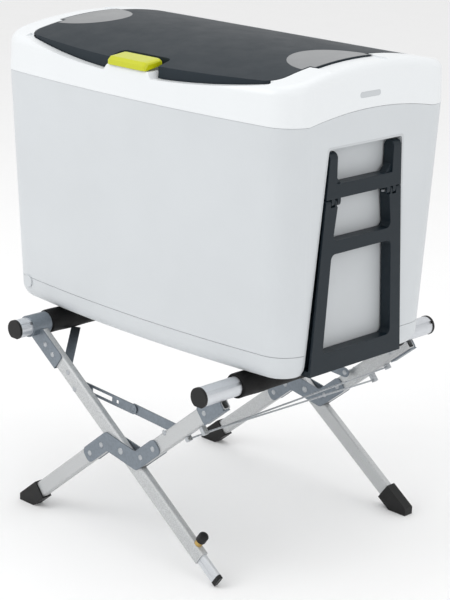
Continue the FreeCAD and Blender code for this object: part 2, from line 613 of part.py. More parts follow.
def make_handle():
    pivot_x, pivot_z = HANDLE_PIVOT
    hinge_x, hinge_z_pos = HANDLE_HINGE
    x_mid = (HANDLE_X0 + HANDLE_X1) / 2
    half_t = (HANDLE_X1 - HANDLE_X0) / 2
    upper_z = hinge_z_pos + KNUCKLE_R + 0.6
    upper = handle_plate(upper_z, pivot_z)
    tip = rod_y(half_t, -handle_half(pivot_z), handle_half(pivot_z), x_mid, pivot_z)
    upper = upper.fuse(tip)
    upper = upper.cut(prism_yz([(-57, 268), (57, 268), (58, 330), (-58, 330)], 250, 320))
    rib = rod_x(7, 281, HANDLE_X1, 0, 300)
    gusset = [prism_yz([(-57, 267), (-45, 267), (-57, 279)], HANDLE_X0 + 3, HANDLE_X1 - 3)]
    gusset.append(gusset[0].mirror(vec(0, 0, 0), vec(0, 1, 0)))
    upper = upper.fuse(gusset).cut(rib)
    lower_top = hinge_z_pos
    lower = handle_plate(HANDLE_FOOT_Z, lower_top)
    barrel_half = handle_half(lower_top)
    lower = lower.fuse(rod_y(KNUCKLE_R, -barrel_half, barrel_half, hinge_x, hinge_z_pos))
    lower = lower.cut(handle_window(190, 262, 21, 26, 8))
    lower = lower.cut(handle_window(34, 172, 22, 21, 8))
    for y0, y1 in knuckle_zones():
        room = rod_y(KNUCKLE_R + 0.7, y0 - 1.2, y1 + 1.2, hinge_x, hinge_z_pos)
        room = room.fuse(box(hinge_x, 320, y0 - 1.2, y1 + 1.2, hinge_z_pos - KNUCKLE_R - 0.7, 260))
        lower = lower.cut(room)
        knuckle = rod_y(KNUCKLE_R, y0, y1, hinge_x, hinge_z_pos)
        knuckle = knuckle.fuse(box(hinge_x - KNUCKLE_R, HANDLE_X1, y0, y1, hinge_z_pos, upper_z + 2))
        upper = upper.fuse(knuckle)
    upper = upper.cut(rod_y(1.6 + FIT, -100, 100, hinge_x, hinge_z_pos))
    lower = lower.cut(rod_y(1.6, -71, -43, hinge_x, hinge_z_pos))
    lower = lower.cut(rod_y(1.6, 43, 71, hinge_x, hinge_z_pos))
    for side in (-1, 1):
        y0, y1 = sorted((side * 62, side * 100))
        upper = upper.cut(rod_y(3.0 + FIT, y0, y1, pivot_x, pivot_z))
    lower = lower.cut(side_channels(14, 232))
    upper = upper.cut(side_channels(256, 290))
    handle_at = (COOLER_AT[0], COOLER_AT[1] + HANDLE_Y, COOLER_AT[2])
    save("handle_upper", upper.removeSplitter(), handle_at)
    save("handle_lower", lower.removeSplitter(), handle_at)
    save("handle_hinge_pins", both_sides(rod_y(1.6, 43, 71, hinge_x, hinge_z_pos)), handle_at)
    save("handle_pivot_pins", both_sides(rod_y(3.0, 62, 77.0, pivot_x, pivot_z)), handle_at)


def side_channels(z0, z1):
    """Deep channels along the outer sides of both arms."""
    low, high = handle_half(z0) - 9.0, handle_half(z1) - 9.0
    core = prism_yz([(-low, z0), (low, z0), (high, z1), (-high, z1)], HANDLE_X0 - 5, HANDLE_X1 + 5)
    return box(HANDLE_X0 + 3.0, HANDLE_X1 - 3.5, -110, 110, z0, z1).cut(core)


# ---------------------------------------------------------------- wheels
def make_wheels():
    wheels, axles = [], []
    for side in (-1, 1):
        y = side * WHEEL_Y
        wheel = rod_y(WHEEL_R, y - WHEEL_W / 2, y + WHEEL_W / 2, WHEEL_X, WHEEL_Z)
        wheel = round_edges(wheel, 4, lambda edge: edge.Length > 100)
        for index in range(5):
            hole = rod_y(5, y - 20, y + 20, WHEEL_X, WHEEL_Z + 17)
            hole.rotate(vec(WHEEL_X, y, WHEEL_Z), vec(0, 1, 0), index * 72)
            wheel = wheel.cut(hole)
        wheel = wheel.cut(rod_y(AXLE_R + FIT, y - 20, y + 20, WHEEL_X, WHEEL_Z))
        wheels.append(wheel)
        skin = panel_surface(WHEEL_X, WHEEL_Z)
        if side < 0:
            skin = BACK_EXTRA - skin
        y0, y1 = sorted((side * (WHEEL_Y - 17.4), skin - side * 1.0))
        axle = rod_y(AXLE_R, y0, y1, WHEEL_X, WHEEL_Z)
        y0, y1 = sorted((skin - side * 1.0, skin + side * 2.0))
        cap = rod_y(9, y0, y1, WHEEL_X, WHEEL_Z).cut(body_solid(0))
        axles.append(axle.fuse(cap))
    for name, wheel in zip(("wheel_front", "wheel_rear"), wheels):
        save(name, wheel, COOLER_AT)
    save("wheel_axles", Part.makeCompound(axles), COOLER_AT)


# ---------------------------------------------------------------- stand
def along(deg, s, t, base=PIVOT):
    """The (x, z) point s along a direction and t to its left, from the pivot."""
    c, d = math.cos(math.radians(deg)), math.sin(math.radians(deg))
    return base[0] + s * c - t * d, base[1] + s * d + t * c


def in_leg(shape, deg):
    """Turn a shape drawn along X about the origin into a leg direction through the pivot."""
    shape.rotate(vec(0, 0, 0), vec(0, -1, 0), deg)
    shape.translate(vec(PIVOT[0], 0, PIVOT[1]))
    return shape


def leg_tube(deg, s0, s1, t, width, depth, wall, y):
    """A rounded rectangular tube in the plane of the cross."""
    def block(half_w, half_d, radius):
        return rounded_box(s0, s1, y - half_d, y + half_d, t - half_w, t + half_w, radius, 0)
    tube = block(width / 2, depth / 2, 3.5)
    return in_leg(tube.cut(block(width / 2 - wall, depth / 2 - wall, 2.0)), deg)


def leg_block(deg, s0, s1, t0, t1, y0, y1):
    return in_leg(box(s0, s1, y0, y1, t0, t1), deg)


def rivet(x, z, y0, y1, radius, head):
    """A rivet along Y with a domed head past each end of its shank."""
    dome_r = (head ** 2 + 1.5 ** 2) / 3.0
    shank = rod_y(radius, y0, y1, x, z)
    front = Part.makeSphere(dome_r, vec(x, y0 + dome_r - 1.5, z))
    front = front.common(box(x - 9, x + 9, y0 - 2, y0, z - 9, z + 9))
    back = Part.makeSphere(dome_r, vec(x, y1 - dome_r + 1.5, z))
    back = back.common(box(x - 9, x + 9, y1, y1 + 2, z - 9, z + 9))
    return shank.fuse([front, back])


LEG_A_T = 12.4          # the straight leg is a little thinner, to pass between the plates
A_FRONT, A_BACK = -LEG_Y - LEG_A_T / 2, -LEG_Y + LEG_A_T / 2
B_FRONT, B_BACK = -LEG_Y - LEG_T / 2, -LEG_Y + LEG_T / 2
FOOT_OUT = 240.6        # from the pivot to the end of the front adjustable foot
TUBE_END = 199.0
CAPPED_END = 228.0
LEG_TOP = 225.5         # from the pivot to the upper end of the straight leg
PLUNGER_S = 181.0


def bar_section(x):
    """An extruded top bar: a tube with a flat underside and a groove each side."""
    bar = rod_y(BAR_R, -BAR_HALF + 4, BAR_HALF - 4, x, BAR_Z)
    bar = bar.cut(box(x - 20, x + 20, -250, 250, BAR_Z - 20, BAR_Z - BAR_R + 1.6))
    inner = rod_y(BAR_R - 2.4, -250, 250, x, BAR_Z)
    inner = inner.cut(box(x - 20, x + 20, -250, 250, BAR_Z - 20, BAR_Z - BAR_R + 4.0))
    bar = bar.cut(inner)
    for turn in (35, 125, 215, 305):
        groove = box(BAR_R - 2.0, BAR_R + 4, -250, 250, -2.2, 2.2)
        groove.rotate(vec(0, 0, 0), vec(0, -1, 0), turn)
        groove.translate(vec(x, 0, BAR_Z))
        bar = bar.cut(groove)
    return bar


def make_bars():
    for side, name in ((-1, "left"), (1, "right")):
        x = side * BAR_X
        bar = bar_section(x)
        sleeve = rod_y(SLEEVE_R, -SLEEVE_HALF[side], SLEEVE_HALF[side], x, BAR_Z)
        sleeve = round_edges(sleeve, 2.5, lambda edge: edge.Length > 100 and not runs_along(edge, 1))
        sleeve = sleeve.cut(rod_y(BAR_R, -250, 250, x, BAR_Z))
        caps = []
        for end in (-1, 1):
            y0, y1 = sorted((end * (BAR_HALF - 4), end * BAR_HALF))
            cap = rod_y(BAR_R + 0.6, y0, y1, x, BAR_Z)
            cap = cap.cut(box(x - 20, x + 20, -250, 250, BAR_Z - 20, BAR_Z - BAR_R + 1.0))
            caps.append(cap)
        save("bar_" + name, bar, STAND_AT)
        save("sleeve_" + name, sleeve, STAND_AT)
        save("bar_caps_" + name, Part.makeCompound(caps), STAND_AT)


def foot_cap(deg, t, end, y):
    """A wedge-shaped shoe over a leg's lower end, with a flat tread on the floor."""
    sign = 1 if end > 0 else -1
    s0, s1 = sorted((end - sign * 20, end + sign * 40))
    shoe = leg_block(deg, s0, s1, t - LEG_W / 2 - 2.2, t + LEG_W / 2 + 2.2, y - 8.7, y + 8.7)
    foot_x = along(deg, end, t)[0]
    shoe = shoe.common(box(foot_x - 30, foot_x + 30, -300, 300, -STAND_AT[2], 60))
    s0, s1 = sorted((end - sign * 60, end))
    return shoe.cut(leg_block(deg, s0, s1, t - LEG_W / 2, t + LEG_W / 2, y - LEG_T / 2, y + LEG_T / 2))


def make_legs():
    front = leg_tube(LEG_A_DEG, -LEG_TOP, TUBE_END, 0, LEG_W, LEG_A_T, LEG_WALL, -LEG_Y)
    rear = leg_tube(LEG_A_DEG, -LEG_TOP, CAPPED_END, 0, LEG_W, LEG_A_T, LEG_WALL, LEG_Y)
    pivot_hole = rod_y(RIVET_R + FIT, -230, 230, *PIVOT)
    plunger_hole = in_leg(rod_z(4.5, 2, 20, PLUNGER_S, -LEG_Y), LEG_A_DEG)
    pins_a = Part.makeCompound([rod_y(2.5, -230, 230, x, z) for x, z in rivet_places_a()])
    front = front.cut(plunger_hole)
    legs = [leg.cut(pivot_hole).cut(pins_a) for leg in (front, rear)]
    save("straight_legs", Part.makeCompound(legs), STAND_AT)
    halves = []
    pins_b = Part.makeCompound([rod_y(2.5, -230, 230, x, z) for x, z in rivet_places_b()])
    for side in (-1, 1):
        upper = leg_tube(LEG_B_DEG, SPLIT_START, LEG_TOP + 8, -SPLIT_OFF, LEG_W, LEG_T, LEG_WALL, side * LEG_Y)
        lower = leg_tube(LEG_B_DEG, -CAPPED_END - 8, -SPLIT_START, SPLIT_OFF, LEG_W, LEG_T, LEG_WALL, side * LEG_Y)
        upper = upper.cut(rod_y(BAR_R + 0.05, -250, 250, BAR_X, BAR_Z))
        halves += [upper.cut(pins_b), lower.cut(pins_b)]
    save("split_legs", Part.makeCompound(halves), STAND_AT)
    shoe = foot_cap(LEG_A_DEG, 0, CAPPED_END, LEG_Y)
    save("foot_cap_right", shoe.cut(rear), STAND_AT)
    shoes = [foot_cap(LEG_B_DEG, SPLIT_OFF, -CAPPED_END - 8, side * LEG_Y) for side in (-1, 1)]
    save("foot_caps_left", Part.makeCompound(shoes), STAND_AT)


def rivet_places_a():
    """Rivets of the straight leg: corner bracket, marker rivets and the stay pin."""
    bracket = [along(LEG_A_DEG, s, 0) for s in (-206, -186)]
    return bracket + [along(LEG_A_DEG, -148, 3), STAY_1]


def rivet_places_b():
    """Rivets of the split leg: cross brackets, corner bracket and the stay pin."""
    places = [along(LEG_B_DEG, s, -SPLIT_OFF) for s in (34, 66, 196)]
    places += [along(LEG_B_DEG, -s, SPLIT_OFF) for s in (34, 66)]
    return places + [STAY_2]


def cross_plate(y0, y1):
    """The cranked plate that joins the two halves of a split leg past the straight one."""
    inner, outer = SPLIT_OFF - LEG_W / 2 - 0.3, SPLIT_OFF + LEG_W / 2 + 0.2
    outline = [(78, -outer), (13, -outer), (-28, inner), (-78, inner),
               (-78, outer), (-13, outer), (28, -inner), (78, -inner)]
    plate = prism_xz(outline, y0, y1)

    def at_bend(edge):
        return runs_along(edge, 1) and abs(edge.Vertexes[0].X) < 30

    def at_end(edge):
        return runs_along(edge, 1) and abs(edge.Vertexes[0].X) > 70
    plate = round_edges(plate, 9.0, at_bend)
    plate = round_edges(plate, 9.0, at_end)
    return in_leg(plate, LEG_B_DEG)


def make_brackets():
    holes = [rod_y(RIVET_R, -230, 230, *PIVOT)]
    holes += [rod_y(2.5, -230, 230, x, z) for x, z in rivet_places_b()]
    holes = Part.makeCompound(holes)
    front = [cross_plate(B_FRONT - PLATE_T, B_FRONT), cross_plate(B_BACK, B_BACK + PLATE_T)]
    plates = [plate.cut(holes) for plate in front]
    plates += [plate.mirror(vec(0, 0, 0), vec(0, 1, 0)) for plate in plates]
    save("cross_brackets", Part.makeCompound(plates), STAND_AT)
    corner_fittings()
    rivet_groups()


def leg_fitting(deg, s0, s1, t, face):
    """A formed plate down the outer face of a leg, with a turned-in cheek, that meets the bar."""
    plate = leg_block(deg, s0, s1, t - LEG_W / 2 - 1.5, t + LEG_W / 2 + 1.5, face - PLATE_T, face)
    plate = round_edges(plate, 5, lambda edge: runs_along(edge, 1))
    cheek = leg_block(deg, s0, s1, t - LEG_W / 2 - 2.2, t - LEG_W / 2 - 0.2, face - PLATE_T, face + 10)
    return plate.fuse(cheek)


def corner_fittings():
    leg_a = leg_block(LEG_A_DEG, -LEG_TOP, CAPPED_END, -LEG_W / 2, LEG_W / 2, A_FRONT, A_BACK)
    leg_b = leg_block(LEG_B_DEG, SPLIT_START, LEG_TOP + 8,
                      -SPLIT_OFF - LEG_W / 2, -SPLIT_OFF + LEG_W / 2, B_FRONT, B_BACK)
    bore = rod_y(BAR_R, -260, 260, -BAR_X, BAR_Z)
    band = rod_y(BAR_R + 2.2, A_FRONT - PLATE_T - 13, -SLEEVE_HALF[-1] - 0.5, -BAR_X, BAR_Z)
    fitting = leg_fitting(LEG_A_DEG, -244, -170, 0, A_FRONT).fuse(band).cut(bore).cut(leg_a)
    fitting = fitting.cut(Part.makeCompound([rod_y(2.5, -230, 230, x, z) for x, z in rivet_places_a()]))
    fitting = fitting.Solids[0]
    foot = vec(*leg_point_3d(LEG_A_DEG, -164, -2.0, A_BACK + 1.0))
    head = vec(-BAR_X + 4, -128, BAR_Z - SLEEVE_R - 3.4)
    brace = strip_between(head, foot, 14.0, 2.0).cut(bore).cut(leg_a)
    brace = brace.Solids[0]
    brace = brace.cut(fitting)
    save("corner_fittings_left", Part.makeCompound([both_sides(fitting), both_sides(brace)]), STAND_AT)
    bore = rod_y(BAR_R, -260, 260, BAR_X, BAR_Z)
    fitting = leg_fitting(LEG_B_DEG, 186, 234, -SPLIT_OFF, B_FRONT).cut(bore).cut(leg_b)
    fitting = fitting.cut(Part.makeCompound([rod_y(2.5, -230, 230, x, z) for x, z in rivet_places_b()]))
    save("corner_fittings_right", both_sides(fitting.Solids[0]), STAND_AT)
    make_tie_rods()


def leg_point_3d(deg, s, t, y):
    x, z = along(deg, s, t)
    return x, y, z


def strip_between(a, b, width, thick):
    """A flat strip from a to b, with its broad side up."""
    length = (b - a).Length
    strip = box(-4, length + 4, -width / 2, width / 2, -thick / 2, thick / 2)
    turn = FreeCAD.Rotation(vec(1, 0, 0), b - a)
    strip.Placement = FreeCAD.Placement(a, turn)
    return strip


def make_tie_rods():
    """Two crossed wire ties under the right-hand bar, each between lugs under the split legs."""
    rods, lugs = [], []
    under = -SPLIT_OFF - LEG_W / 2
    for side, drop in ((-1, 4.0), (1, 9.5)):
        low = vec(*leg_point_3d(LEG_B_DEG, 136, under - drop, side * (LEG_Y - 2)))
        high = vec(*leg_point_3d(LEG_B_DEG, 172, under - drop, -side * (LEG_Y - 2)))
        rods.append(rod_between(1.3, low, high).fuse([
            Part.makeSphere(2.6, low), Part.makeSphere(2.6, high)]))
        for s, y in ((136, side * LEG_Y), (172, -side * LEG_Y)):
            lug = leg_block(LEG_B_DEG, s - 3.2, s + 3.2, under - drop - 3, under, y - 4, y + 4)
            lugs.append(lug)
    ties = Part.makeCompound(rods)
    save("tie_rods", Part.makeCompound([ties] + [lug.cut(ties) for lug in lugs]), STAND_AT)


def rivet_groups():
    left, right = [], []
    for x, z in rivet_places_a()[:2]:
        left.append(rivet(x, z, A_FRONT - PLATE_T, A_BACK, 2.5, 4.2))
    for x, z in rivet_places_a()[2:3]:
        left.append(rivet(x, z, A_FRONT, A_BACK, 2.5, 4.0))
    for x, z in rivet_places_b()[:2] + rivet_places_b()[3:5]:
        right.append(rivet(x, z, B_FRONT - PLATE_T, B_BACK + PLATE_T, 2.5, 4.2))
    x, z = rivet_places_b()[2]
    right.append(rivet(x, z, B_FRONT - PLATE_T, B_BACK, 2.5, 4.0))
    right.append(rivet(PIVOT[0], PIVOT[1], B_FRONT - PLATE_T, B_BACK + PLATE_T, RIVET_R, 5.2))
    left.append(rivet(STAY_1[0], STAY_1[1], A_FRONT, STAY_A_Y1, 2.5, 4.2))
    right.append(rivet(STAY_2[0], STAY_2[1], B_FRONT, STAY_B_Y1, 2.5, 4.2))
    save("rivets_left_frame", Part.makeCompound([both_sides(item) for item in left]), STAND_AT)
    save("rivets_right_frame", Part.makeCompound([both_sides(item) for item in right]), STAND_AT)


# The stay links lie in two planes on the inner side of the legs
STAY_A_Y0, STAY_A_Y1 = -185.4, -183.4
STAY_B_Y0, STAY_B_Y1 = -183.0, -181.0


def stay_plate(a, b, y0, y1, width):
    """A flat link with round ends from a to b, as (x, z) points."""
    length = math.hypot(b[0] - a[0], b[1] - a[1])
    plate = box(0, length, y0, y1, -width / 2, width / 2)
    plate = plate.fuse([rod_y(width / 2, y0, y1, 0, 0), rod_y(width / 2, y0, y1, length, 0)])
    return plate, length


def place_stay(plate, a, b):
    deg = math.degrees(math.atan2(b[1] - a[1], b[0] - a[0]))
    plate.rotate(vec(0, 0, 0), vec(0, -1, 0), deg)
    plate.translate(vec(a[0], 0, a[1]))
    return plate


def make_stays():
    link_a, length = stay_plate(STAY_1, STAY_KNEE, STAY_A_Y0, STAY_A_Y1, 15.0)
    link_a = link_a.cut(rod_y(2.5 + FIT, -200, -150, 0, 0))
    slot = box(18, 62, -200, -150, -4, 4)
    link_a = link_a.cut(slot).cut(box(70, 76, -200, -150, -3, 3))
    link_a = link_a.fuse(rivet(length, 0, STAY_A_Y0, STAY_A_Y1 - 0.5, 3.0, 4.6).common(
        box(-300, 300, STAY_A_Y0 - 3, STAY_A_Y1, -20, 20)))
    save("stay_links_left", both_sides(place_stay(link_a, STAY_1, STAY_KNEE)), STAND_AT)
    link_b, length = stay_plate(STAY_2, STAY_KNEE, STAY_B_Y0, STAY_B_Y1, 15.0)
    link_b = link_b.cut(rod_y(2.5 + FIT, -200, -150, 0, 0)).cut(rod_y(3.2, -200, -150, length, 0))
    save("stay_links_right", both_sides(place_stay(link_b, STAY_2, STAY_KNEE)), STAND_AT)


def make_foot():
    tube = leg_tube(LEG_A_DEG, 122, FOOT_OUT - 6, 0, LEG_W - 2 * LEG_WALL - 0.4,
                    LEG_A_T - 2 * LEG_WALL - 0.4, 1.5, -LEG_Y)
    groove = in_leg(box(PLUNGER_S - 54, PLUNGER_S + 3, -LEG_Y - 2.8, -LEG_Y + 2.8, 3, 12), LEG_A_DEG)
    line = box(TUBE_END - 60, FOOT_OUT, -LEG_Y - 8, -LEG_Y - LEG_A_T / 2 + LEG_WALL + 0.7, -1, 1)
    line = in_leg(line, LEG_A_DEG)
    save("foot_tube", tube.cut(groove).cut(line), STAND_AT)
    half_w = LEG_W / 2 - LEG_WALL - 0.2
    half_d = LEG_A_T / 2 - LEG_WALL - 0.2
    plug = in_leg(rounded_box(FOOT_OUT - 6, FOOT_OUT, -LEG_Y - half_d, -LEG_Y + half_d, -half_w, half_w, 3.4, 0),
                  LEG_A_DEG)
    save("foot_plug", plug, STAND_AT)
    top = LEG_W / 2
    bush = rod_z(6.0, top, top + 8, PLUNGER_S, -LEG_Y).fuse(rod_z(4.5, top - 1.8, top, PLUNGER_S, -LEG_Y))
    bush = bush.cut(rod_z(2.5 + FIT, 0, 40, PLUNGER_S, -LEG_Y))
    save("plunger_bush", in_leg(bush, LEG_A_DEG), STAND_AT)
    knob = rod_z(7.5, top + 8.4, top + 21, PLUNGER_S, -LEG_Y)
    knob = round_edges(knob, 3.5, lambda edge: edge.BoundBox.ZMin > top + 20)
    pin = rod_z(2.5, top - 3.4, top + 10, PLUNGER_S, -LEG_Y)
    save("plunger", in_leg(knob.fuse(pin), LEG_A_DEG), STAND_AT)


def main():
    os.makedirs("parts", exist_ok=True)
    make_casing()
    make_rim()
    make_lid()
    make_latch()
    make_inside()
    make_controls()
    make_handle()
    make_wheels()
    make_bars()
    make_legs()
    make_brackets()
    make_stays()
    make_foot()


main()
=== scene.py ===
"""The compressor cooler and its folding stand: materials, soft parts, camera and light."""

import json
import math

import bmesh
import bpy
from mathutils import Matrix, Vector


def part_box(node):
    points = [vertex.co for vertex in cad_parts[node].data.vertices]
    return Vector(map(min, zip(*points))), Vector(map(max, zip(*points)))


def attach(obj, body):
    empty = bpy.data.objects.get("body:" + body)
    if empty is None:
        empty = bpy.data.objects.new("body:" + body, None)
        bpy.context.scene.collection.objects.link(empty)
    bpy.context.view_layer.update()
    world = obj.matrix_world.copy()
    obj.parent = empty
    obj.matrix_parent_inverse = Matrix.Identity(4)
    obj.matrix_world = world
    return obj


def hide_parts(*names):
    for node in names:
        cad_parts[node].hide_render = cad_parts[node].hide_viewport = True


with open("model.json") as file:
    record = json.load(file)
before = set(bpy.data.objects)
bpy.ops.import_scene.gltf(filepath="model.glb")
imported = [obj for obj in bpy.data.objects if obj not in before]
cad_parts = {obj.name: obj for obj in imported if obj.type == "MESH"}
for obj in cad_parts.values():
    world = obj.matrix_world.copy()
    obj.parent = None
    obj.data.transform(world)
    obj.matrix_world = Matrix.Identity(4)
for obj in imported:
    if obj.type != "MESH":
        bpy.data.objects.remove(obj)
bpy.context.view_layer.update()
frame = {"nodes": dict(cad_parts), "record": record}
frame_slots = {part["node"]: part["material_slot"] for part in frame["record"]["subparts"]}


# ---------------------------------------------------------------- node helpers
BEVEL_SAMPLES = 6
NO_STRETCH = (1.0, 1.0, 1.0)
BAR_GRAIN = (1.0, 0.06, 1.0)        # draw lines along the bars, which run front to back


def new_material(name):
    """An empty node material with a Principled shader and its output."""
    material = bpy.data.materials.new(name)
    material.use_nodes = True
    nodes = material.node_tree.nodes
    nodes.clear()
    output = nodes.new("ShaderNodeOutputMaterial")
    shader = nodes.new("ShaderNodeBsdfPrincipled")
    material.node_tree.links.new(shader.outputs[0], output.inputs[0])
    return material, material.node_tree, shader


def object_point(tree, scale=NO_STRETCH):
    """The point on the object, in metres, stretched along the axes."""
    coords = tree.nodes.new("ShaderNodeTexCoord")
    mapping = tree.nodes.new("ShaderNodeMapping")
    mapping.inputs["Scale"].default_value = scale
    tree.links.new(coords.outputs["Object"], mapping.inputs["Vector"])
    return mapping.outputs[0]


def noise(tree, point, scale, detail=2.0, rough=0.5):
    """A noise value at the point, mostly between 0.3 and 0.7."""
    node = tree.nodes.new("ShaderNodeTexNoise")
    node.inputs["Scale"].default_value = scale
    node.inputs["Detail"].default_value = detail
    node.inputs["Roughness"].default_value = rough
    tree.links.new(point, node.inputs["Vector"])
    return node.outputs["Fac"]


def spread(tree, value, low, high, from_low=0.3, from_high=0.7):
    """Maps a noise value onto a range."""
    node = tree.nodes.new("ShaderNodeMapRange")
    node.inputs["From Min"].default_value = from_low
    node.inputs["From Max"].default_value = from_high
    node.inputs["To Min"].default_value = low
    node.inputs["To Max"].default_value = high
    tree.links.new(value, node.inputs["Value"])
    return node.outputs[0]


def between(tree, value, dark, light):
    """A colour between two, following a value from 0 to 1."""
    node = tree.nodes.new("ShaderNodeMix")
    node.data_type = "RGBA"
    node.inputs["A"].default_value = (*dark, 1.0)
    node.inputs["B"].default_value = (*light, 1.0)
    tree.links.new(value, node.inputs["Factor"])
    return node.outputs["Result"]


def bump(tree, shader, height, depth, strength=1.0, edge=0.0008):
    """Relief from a height, over edges that look rounded to the edge radius, if there is one."""
    node = tree.nodes.new("ShaderNodeBump")
    node.inputs["Distance"].default_value = depth
    node.inputs["Strength"].default_value = strength
    if edge > 0.0:
        soft = tree.nodes.new("ShaderNodeBevel")
        soft.samples = BEVEL_SAMPLES
        soft.inputs["Radius"].default_value = edge
        tree.links.new(soft.outputs[0], node.inputs["Normal"])
    tree.links.new(height, node.inputs["Height"])
    tree.links.new(node.outputs[0], shader.inputs["Normal"])


def edge_wear_and_highlight(tree, radius=0.0014):
    """A value from 0 to 1 along sharp edges, broken up into uneven patches: partly edge wear, partly a
    painted highlight where edges would catch the light.
    """
    soft = tree.nodes.new("ShaderNodeBevel")
    soft.samples = BEVEL_SAMPLES
    soft.inputs["Radius"].default_value = radius
    flat = tree.nodes.new("ShaderNodeNewGeometry")
    dot = tree.nodes.new("ShaderNodeVectorMath")
    dot.operation = "DOT_PRODUCT"
    tree.links.new(soft.outputs[0], dot.inputs[0])
    tree.links.new(flat.outputs["Normal"], dot.inputs[1])
    ridge = spread(tree, dot.outputs["Value"], 1.0, 0.0, 0.86, 0.99)
    patches = spread(tree, noise(tree, object_point(tree), 130.0, 4.0, 0.6), 0.0, 1.0, 0.4, 0.65)
    product = tree.nodes.new("ShaderNodeMath")
    product.operation = "MULTIPLY"
    tree.links.new(ridge, product.inputs[0])
    tree.links.new(patches, product.inputs[1])
    return product.outputs[0]


def worn_and_highlit(tree, base, wear_and_highlight, colour):
    """The base colour, going over to another along the edge mask: partly edge wear, partly a painted
    highlight.
    """
    node = tree.nodes.new("ShaderNodeMix")
    node.data_type = "RGBA"
    tree.links.new(wear_and_highlight, node.inputs["Factor"])
    tree.links.new(base, node.inputs["A"])
    node.inputs["B"].default_value = (*colour, 1.0)
    return node.outputs["Result"]


def linear(red, green, blue):
    """A linear colour from 8-bit screen values."""
    def channel(value):
        value /= 255.0
        return value / 12.92 if value <= 0.04045 else ((value + 0.055) / 1.055) ** 2.4
    return tuple(channel(value) for value in (red, green, blue))


def toned(colour, gain):
    """A colour made lighter or darker by a factor."""
    return tuple(min(1.0, channel * gain) for channel in colour)


# ---------------------------------------------------------------- materials
def moulded(name, colour, roughness, grain=900.0, grain_depth=0.00006, variation=0.03, coat=0.0, wear_and_highlight=0.9,
            shine=0.5, edge=0.0008):
    """Moulded plastic: a fine grain, faint flow marks and uneven gloss.

    variation is how far the colour wanders, the edge gain is the colour's gain along sharp edges,
    partly wear and partly a painted highlight where it lightens them, shine the specular level,
    and edge the radius in metres that edges seem to have.
    """
    material, tree, shader = new_material(name)
    point = object_point(tree)
    clouds = spread(tree, noise(tree, point, 9.0, 3.0), 0.0, 1.0)
    base = between(tree, clouds, toned(colour, 1.0 - variation), toned(colour, 1.0 + variation))
    # Sharp edges take the edge gain: partly wear, partly a painted highlight that lightens the edges of
    # dark parts
    base = worn_and_highlit(tree, base, edge_wear_and_highlight(tree), toned(colour, wear_and_highlight))
    tree.links.new(base, shader.inputs["Base Color"])
    smears = noise(tree, object_point(tree, (1.0, 1.0, 2.5)), 28.0, 4.0, 0.6)
    tree.links.new(spread(tree, smears, roughness - 0.03, roughness + 0.04), shader.inputs["Roughness"])
    bump(tree, shader, noise(tree, point, grain, 3.0, 0.6), grain_depth, 0.6, edge)
    shader.inputs["Coat Weight"].default_value = coat
    shader.inputs["Coat Roughness"].default_value = 0.25
    shader.inputs["Specular IOR Level"].default_value = shine
    return material


def extruded(name, colour, stretch, roughness=0.36, speckle=0.12):
    """Satin aluminium: fine draw lines along the section, and a sparkle of etch pits."""
    material, tree, shader = new_material(name)
    shader.inputs["Metallic"].default_value = 0.8
    lines = noise(tree, object_point(tree, stretch), 700.0, 3.0, 0.6)
    pits = noise(tree, object_point(tree), 1100.0, 3.0, 0.7)
    base = between(tree, spread(tree, pits, 0.0, 1.0), toned(colour, 1.0 - speckle),
                   toned(colour, 1.0 + speckle))
    tree.links.new(base, shader.inputs["Base Color"])
    tree.links.new(spread(tree, pits, roughness - 0.07, roughness + 0.1), shader.inputs["Roughness"])
    bump(tree, shader, lines, 0.00003, 0.4, 0.0005)
    return material


def plated(name, colour, roughness=0.38):
    """Zinc plated steel: cloudy spangle and small handling marks."""
    material, tree, shader = new_material(name)
    shader.inputs["Metallic"].default_value = 0.75
    spangle = tree.nodes.new("ShaderNodeTexVoronoi")
    spangle.inputs["Scale"].default_value = 240.0
    tree.links.new(object_point(tree), spangle.inputs["Vector"])
    patches = spread(tree, spangle.outputs["Distance"], 0.0, 1.0, 0.0, 0.8)
    base = between(tree, patches, toned(colour, 0.93), toned(colour, 1.07))
    tree.links.new(base, shader.inputs["Base Color"])
    marks = noise(tree, object_point(tree), 70.0, 5.0, 0.7)
    tree.links.new(spread(tree, marks, roughness - 0.08, roughness + 0.12), shader.inputs["Roughness"])
    bump(tree, shader, marks, 0.0001, 0.35)
    return material


def foam_rubber(name, colour):
    """Closed-cell foam: a fine cellular skin with a dusty sheen."""
    material, tree, shader = new_material(name)
    point = object_point(tree)
    cells = noise(tree, point, 520.0, 4.0, 0.7)
    base = between(tree, spread(tree, cells, 0.0, 1.0), toned(colour, 0.6), toned(colour, 1.6))
    tree.links.new(base, shader.inputs["Base Color"])
    tree.links.new(spread(tree, noise(tree, point, 40.0, 3.0), 0.5, 0.72), shader.inputs["Roughness"])
    shader.inputs["Specular IOR Level"].default_value = 0.22
    bump(tree, shader, cells, 0.0004, 0.7)
    return material


def smoked(name, colour):
    """A tinted display window, faintly smudged."""
    material, tree, shader = new_material(name)
    smudge = noise(tree, object_point(tree), 60.0, 4.0)
    tree.links.new(between(tree, spread(tree, smudge, 0.0, 1.0), colour, toned(colour, 1.6)),
                   shader.inputs["Base Color"])
    tree.links.new(spread(tree, smudge, 0.05, 0.16), shader.inputs["Roughness"])
    shader.inputs["Coat Weight"].default_value = 0.6
    return material


BODY_GREY = linear(206, 210, 213)
WHITE = linear(230, 233, 235)
SLATE = linear(34, 43, 50)
ANTHRACITE = linear(18, 30, 38)
LIME = linear(194, 198, 8)
INSET_GREY = linear(126, 128, 130)
ALU = linear(212, 215, 219)
LEG_ALU = linear(212, 214, 215)
ZINC = linear(126, 134, 142)
BLACK = linear(11, 11, 12)
